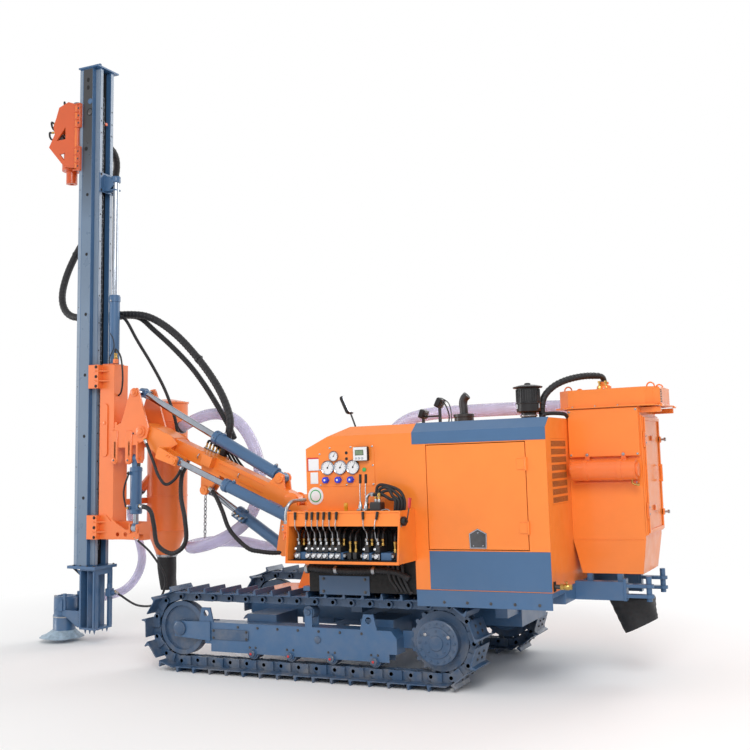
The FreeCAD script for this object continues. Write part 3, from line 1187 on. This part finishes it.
def mast_foot():
    """Foot of the mast: ribbed post under a top plate, with spikes, and the guide's arm."""
    post = block("foot_back", "foot_front", "-mast_half + 20", "mast_half - 20", "foot_bottom", "foot_top + 1")
    recess = []
    for side in (1, -1):
        y0, y1 = side_range(side, "30", "mast_half")
        recess.append(block("foot_back + 26", "foot_front - 26", y0, y1, "foot_bottom + 20", "foot_top - 20"))
    y_rear = block("foot_back - 1", "foot_back + 70", "-80", "80", "foot_bottom + 20", "foot_top - 60")
    top = block("-60", "310", "-mast_half - 20", "mast_half + 20", "foot_top", "mast_bottom - seat_gap")
    body = cut(post, *recess)
    body = cut(body, y_rear)
    pieces = [body, top]
    for x in ("0", "60", "120"):
        for y in ("-95", "95"):
            pieces.append(cone("Z", "3", "14", "foot_bottom - 45", "foot_bottom + 1", x, y))
    # arm and bush that guide the drill string
    pieces.append(block("foot_front - 2", "drill_x - bush_bore", "-95", "95", "foot_bottom + 120", "foot_bottom + 150"))
    pieces.append(disc("Z", "bush_bore + 60", "foot_bottom + 120", "foot_bottom + 150", "drill_x", "0"))
    for side in (1, -1):
        y0, y1 = side_range(side, "80", "95")
        pieces.append(profile("XZ", [("foot_front - 2", "foot_bottom + 10"), ("foot_front + 60", "foot_bottom + 10"),
                                     ("drill_x - 60", "foot_bottom + 125"), ("foot_front - 2", "foot_bottom + 125")],
                              y0, y1))
    cup = cut(disc("Z", "bush_bore + 60", "foot_bottom + 145", "foot_bottom + 300", "drill_x", "0"),
              block("drill_x - 200", "drill_x - 90", "-200", "200", "foot_bottom + 160", "foot_bottom + 310"))
    pieces.append(cup)
    # outlet of the dust suction
    pieces.append(disc("Y", "suction_small", "-160", "-bush_bore - 30", "drill_x", "foot_bottom + 222"))
    bore = disc("Z", "bush_bore", "foot_bottom - 10", "foot_bottom + 310", "drill_x", "0")
    return cut(fuse(*pieces), bore)


def dust_hood():
    """Suction hood round the hole: bell on a flared skirt."""
    top = "foot_bottom + 120 - seat_gap"
    bell = disc("Z", "bush_bore + 55", "90", top, "drill_x + 15", "0")
    skirt = cone("Z", "230", "bush_bore + 58", "28", "110", "drill_x + 45", "0")
    bore = disc("Z", "bush_bore + 8", "20", "400", "drill_x", "0")
    return cut(fuse(bell, skirt), bore)


# Cyclone

def stub(radius, turn, y, z):
    """A slanted pipe from the cyclone's middle, turned from upright about the sideways axis."""
    item = bind(doc.addObject("Part::Cylinder", "Stub"), Radius=radius, Height="stub_length")
    item.Placement = FreeCAD.Placement(Vector(), FreeCAD.Rotation(Vector(0, 1, 0), turn))
    return place(item, "cyclone_x", y, z)


def cyclone():
    """Pre-separator drum with a cone and slanted pipes beside its middle."""
    z0 = "cyclone_cone"
    drum = disc("Z", "cyclone_radius", z0, "cyclone_top", "cyclone_x", "cyclone_y")
    cone_item = cone("Z", "cyclone_radius*0.5", "cyclone_radius", "cyclone_outlet", z0, "cyclone_x", "cyclone_y")
    room = disc("Z", "cyclone_radius - 8", f"{z0} + 5", "cyclone_top - 8", "cyclone_x", "cyclone_y")
    outlet = stub("suction_radius + 6", -60, "cyclone_y + cyclone_radius - suction_radius - 10", "outlet_z")
    inlet = stub("suction_small + 4", 135, "cyclone_y + cyclone_radius - suction_small - 20", "inlet_z")
    return cut(fuse(drum, cone_item, outlet, inlet), room)


def cyclone_sleeve():
    outer = disc("Z", "cyclone_radius*0.5", "sleeve_bottom", "cyclone_outlet - seat_gap", "cyclone_x", "cyclone_y")
    room = disc("Z", "cyclone_radius*0.5 - 8", "sleeve_bottom - 1", "cyclone_outlet - 20", "cyclone_x", "cyclone_y")
    return cut(outer, room)


# Hoses: hand-chosen points (x, y, z) of each route in the machine's frame

HOSE_ROUTES = {
    # from the cyclone down to a loop on the far side, up to the roof and into the dust box
    "suction_hose": ("suction_radius", [
        (2228.3, -460, 2191.2), (2026.3, -460, 2300.3), (1670, -440, 2350), (1370, -410, 2195),
        (1175, -380, 1850), (1125, -300, 1530), (1180, -190, 1245), (1440, -105, 1060), (1790, -90, 972),
        (2030, -323, 975), (2030, -660, 990), (1790, -890, 985), (1440, -880, 915), (1080, -840, 885),
        (700, -810, 950), (360, -805, 1130), (120, -805, 1410), (30, -790, 1740), (-80, -750, 2010),
        (-330, -660, 2180), (-640, -560, 2222), (-960, -470, 2218), (-1280, -458, 2219), (-1600, -530, 2220),
        (-1920, -680, 2225), (-2180, -790, 2200), (-2370, -870, 2090), (-2470, -890, 1890),
        (-2495, -790, 1700), (-2495, -587, 1560), (-2495, -317.3, 1560)]),
    # from the suction outlet at the mast's foot up to the cyclone
    "foot_hose": ("suction_small", [
        (3397.2, -160.3, 385.5), (3397.2, -400, 385.5), (3305, -560, 395), (3140, -650, 450),
        (2980, -660, 600), (2890, -650, 790), (2890, -600, 980), (2905, -530, 1150), (2897.4, -450, 1310),
        (2834.4, -450, 1472.7), (2718.4, -450, 1582.3)]),
    # wrapped bundle from the drill head out to the front and back to the mast's middle
    "head_hoses": ("bundle_radius", [
        (3075.3, -172.3, 5406.4), (3075.3, -380, 5406.4), (3090, -530, 5310), (3150, -590, 5130),
        (3250, -580, 4900), (3370, -525, 4630), (3560, -440, 4330), (3710, -370, 4000), (3735, -310, 3700),
        (3560, -250, 3490), (3260, -230, 3461), (2905.4, -230, 3450.9)]),
    # wrapped bundle from the mast's middle down to the manifold on the boom's far side
    "boom_hoses": ("bundle_radius", [
        (2889.6, -230, 3450.3), (2639.7, -230, 3443.2), (2400, -250, 3390), (2080, -250, 3180),
        (1780, -240, 2880), (1560, -210, 2620), (1400, -150, 2400), (1310.5, -110, 2167.6),
        (1428.9, -110, 1892.3)]),
}


def hose(name):
    """A tube of straight runs joined by tangent arcs, each as large as its runs allow."""
    radius_name, points = HOSE_ROUTES[name]
    radius = size(radius_name)
    corners = [Vector(*point) for point in points]
    edges = []
    start = corners[0]
    tightest = None
    for before, corner, after in zip(corners, corners[1:], corners[2:]):
        inward = (before - corner).normalize()
        outward = (after - corner).normalize()
        turn = math.pi - inward.getAngle(outward)
        reach = 0.45 * min((before - corner).Length, (after - corner).Length)
        bend = reach / math.tan(turn / 2)
        tightest = bend if tightest is None else min(bend, tightest)
        first = corner + inward * reach
        last = corner + outward * reach
        middle_way = (inward + outward).normalize()
        middle = corner + middle_way * (bend / math.cos(turn / 2) - bend)
        edges.append(Part.LineSegment(start, first).toShape())
        edges.append(Part.Arc(first, middle, last).toShape())
        start = last
    edges.append(Part.LineSegment(start, corners[-1]).toShape())
    path = Part.Wire(edges)
    ring = Part.Wire(Part.Circle(corners[0], corners[1] - corners[0], radius).toShape())
    solid = path.makePipeShell([ring], True, False)
    volume = math.pi * radius ** 2 * path.Length
    print(f"{name}: length {path.Length:.0f}, tightest radius {tightest:.0f}, "
          f"volume over section times length {solid.Volume / volume:.4f}")
    item = doc.addObject("Part::Feature", "Hose")
    item.Shape = solid
    return item


# All sub-parts: name, solid, frame

node("track_left", track(1))
node("track_right", track(-1))
for side, name in ((1, "left"), (-1, "right")):
    node("track_frame_" + name, track_frame(side))
    node("running_gear_" + name, running_gear(side))
node("chassis_frame", chassis_frame())
node("carrying_beams", carrying_beams())
node("deck", deck())
node("housing", housing())
node("grey_panels", grey_panels())
node("rear_grille", rear_grille())
node("engine_block", engine_block())
node("side_door_left", side_door(1))
node("side_door_right", side_door(-1))
node("console_box", console_box())
node("valve_bank", valve_bank())
node("control_levers", control_levers())
node("instrument_panel", instrument_panel())
node("air_cleaner", air_cleaner())
node("exhaust_stack", exhaust_stack())
node("lamps", lamps())
node("dust_box", dust_box())
node("dust_door", dust_door())
node("dust_lid", dust_lid())
node("air_tank", air_tank())
node("dust_chute", dust_chute())
node("boom_base", boom_base())
node("swing_post", swing_post())
node("swing_yoke", swing_yoke())
node("boom", boom(), "boom")
node("lift_barrel", barrel("55", "32", f"{LIFT_LENGTH} - 400", "66", "pin"), "lift cylinder")
node("lift_rod", piston_rod("32", f"{LIFT_LENGTH} - 640", LIFT_LENGTH, "42", "34", "37"), "lift cylinder")
node("swing_barrel", barrel("56", "31", f"{SWING_LENGTH} - 600", "25", "pin*0.8"), "swing cylinder")
node("swing_rod", piston_rod("31", f"{SWING_LENGTH} - 860", SWING_LENGTH, "40", "21", "24"), "swing cylinder")
node("tilt_barrel", barrel("60", "33", f"{TILT_LENGTH} - 1000", "36", "pin"), "tilt cylinder")
node("tilt_rod", piston_rod("33", f"{TILT_LENGTH} - 1240", TILT_LENGTH, "48", "32", "cheek_half - cheek - 5"),
     "tilt cylinder")
node("tilt_head", tilt_head(), "head")
node("fan_barrel", fan_barrel(), "head")
node("fan_rod", fan_rod(), "head")
node("carriage", carriage(), "mast")
node("comp_barrel", comp_barrel(), "mast")
node("comp_rod", comp_rod(), "mast")
node("mast_beam", mast_beam(), "mast")
node("feed_chain", feed_chain(), "mast")
node("drill_head", drill_head(), "mast")
node("head_motors", head_motors(), "mast")
node("spindle", spindle(), "mast")
node("mast_foot", mast_foot(), "mast")
node("dust_hood", dust_hood(), "mast")
node("cyclone", cyclone(), "mast")
node("cyclone_sleeve", cyclone_sleeve(), "mast")
for name in HOSE_ROUTES:
    node(name, hose(name))

doc.recompute()

for item in doc.Objects:
    if "Invalid" in item.State or "Error" in item.State:
        raise RuntimeError(f"{item.Label} ({item.Name}) failed: {item.State}")
for name, item in PARTS.items():
    if item.Shape.isNull() or not item.Shape.isValid():
        raise RuntimeError(f"{name} has no valid shape")

os.makedirs("parts", exist_ok=True)
for name, item in PARTS.items():
    item.Shape.exportStep(f"parts/{name}.step")
print(len(PARTS), "sub-parts written")
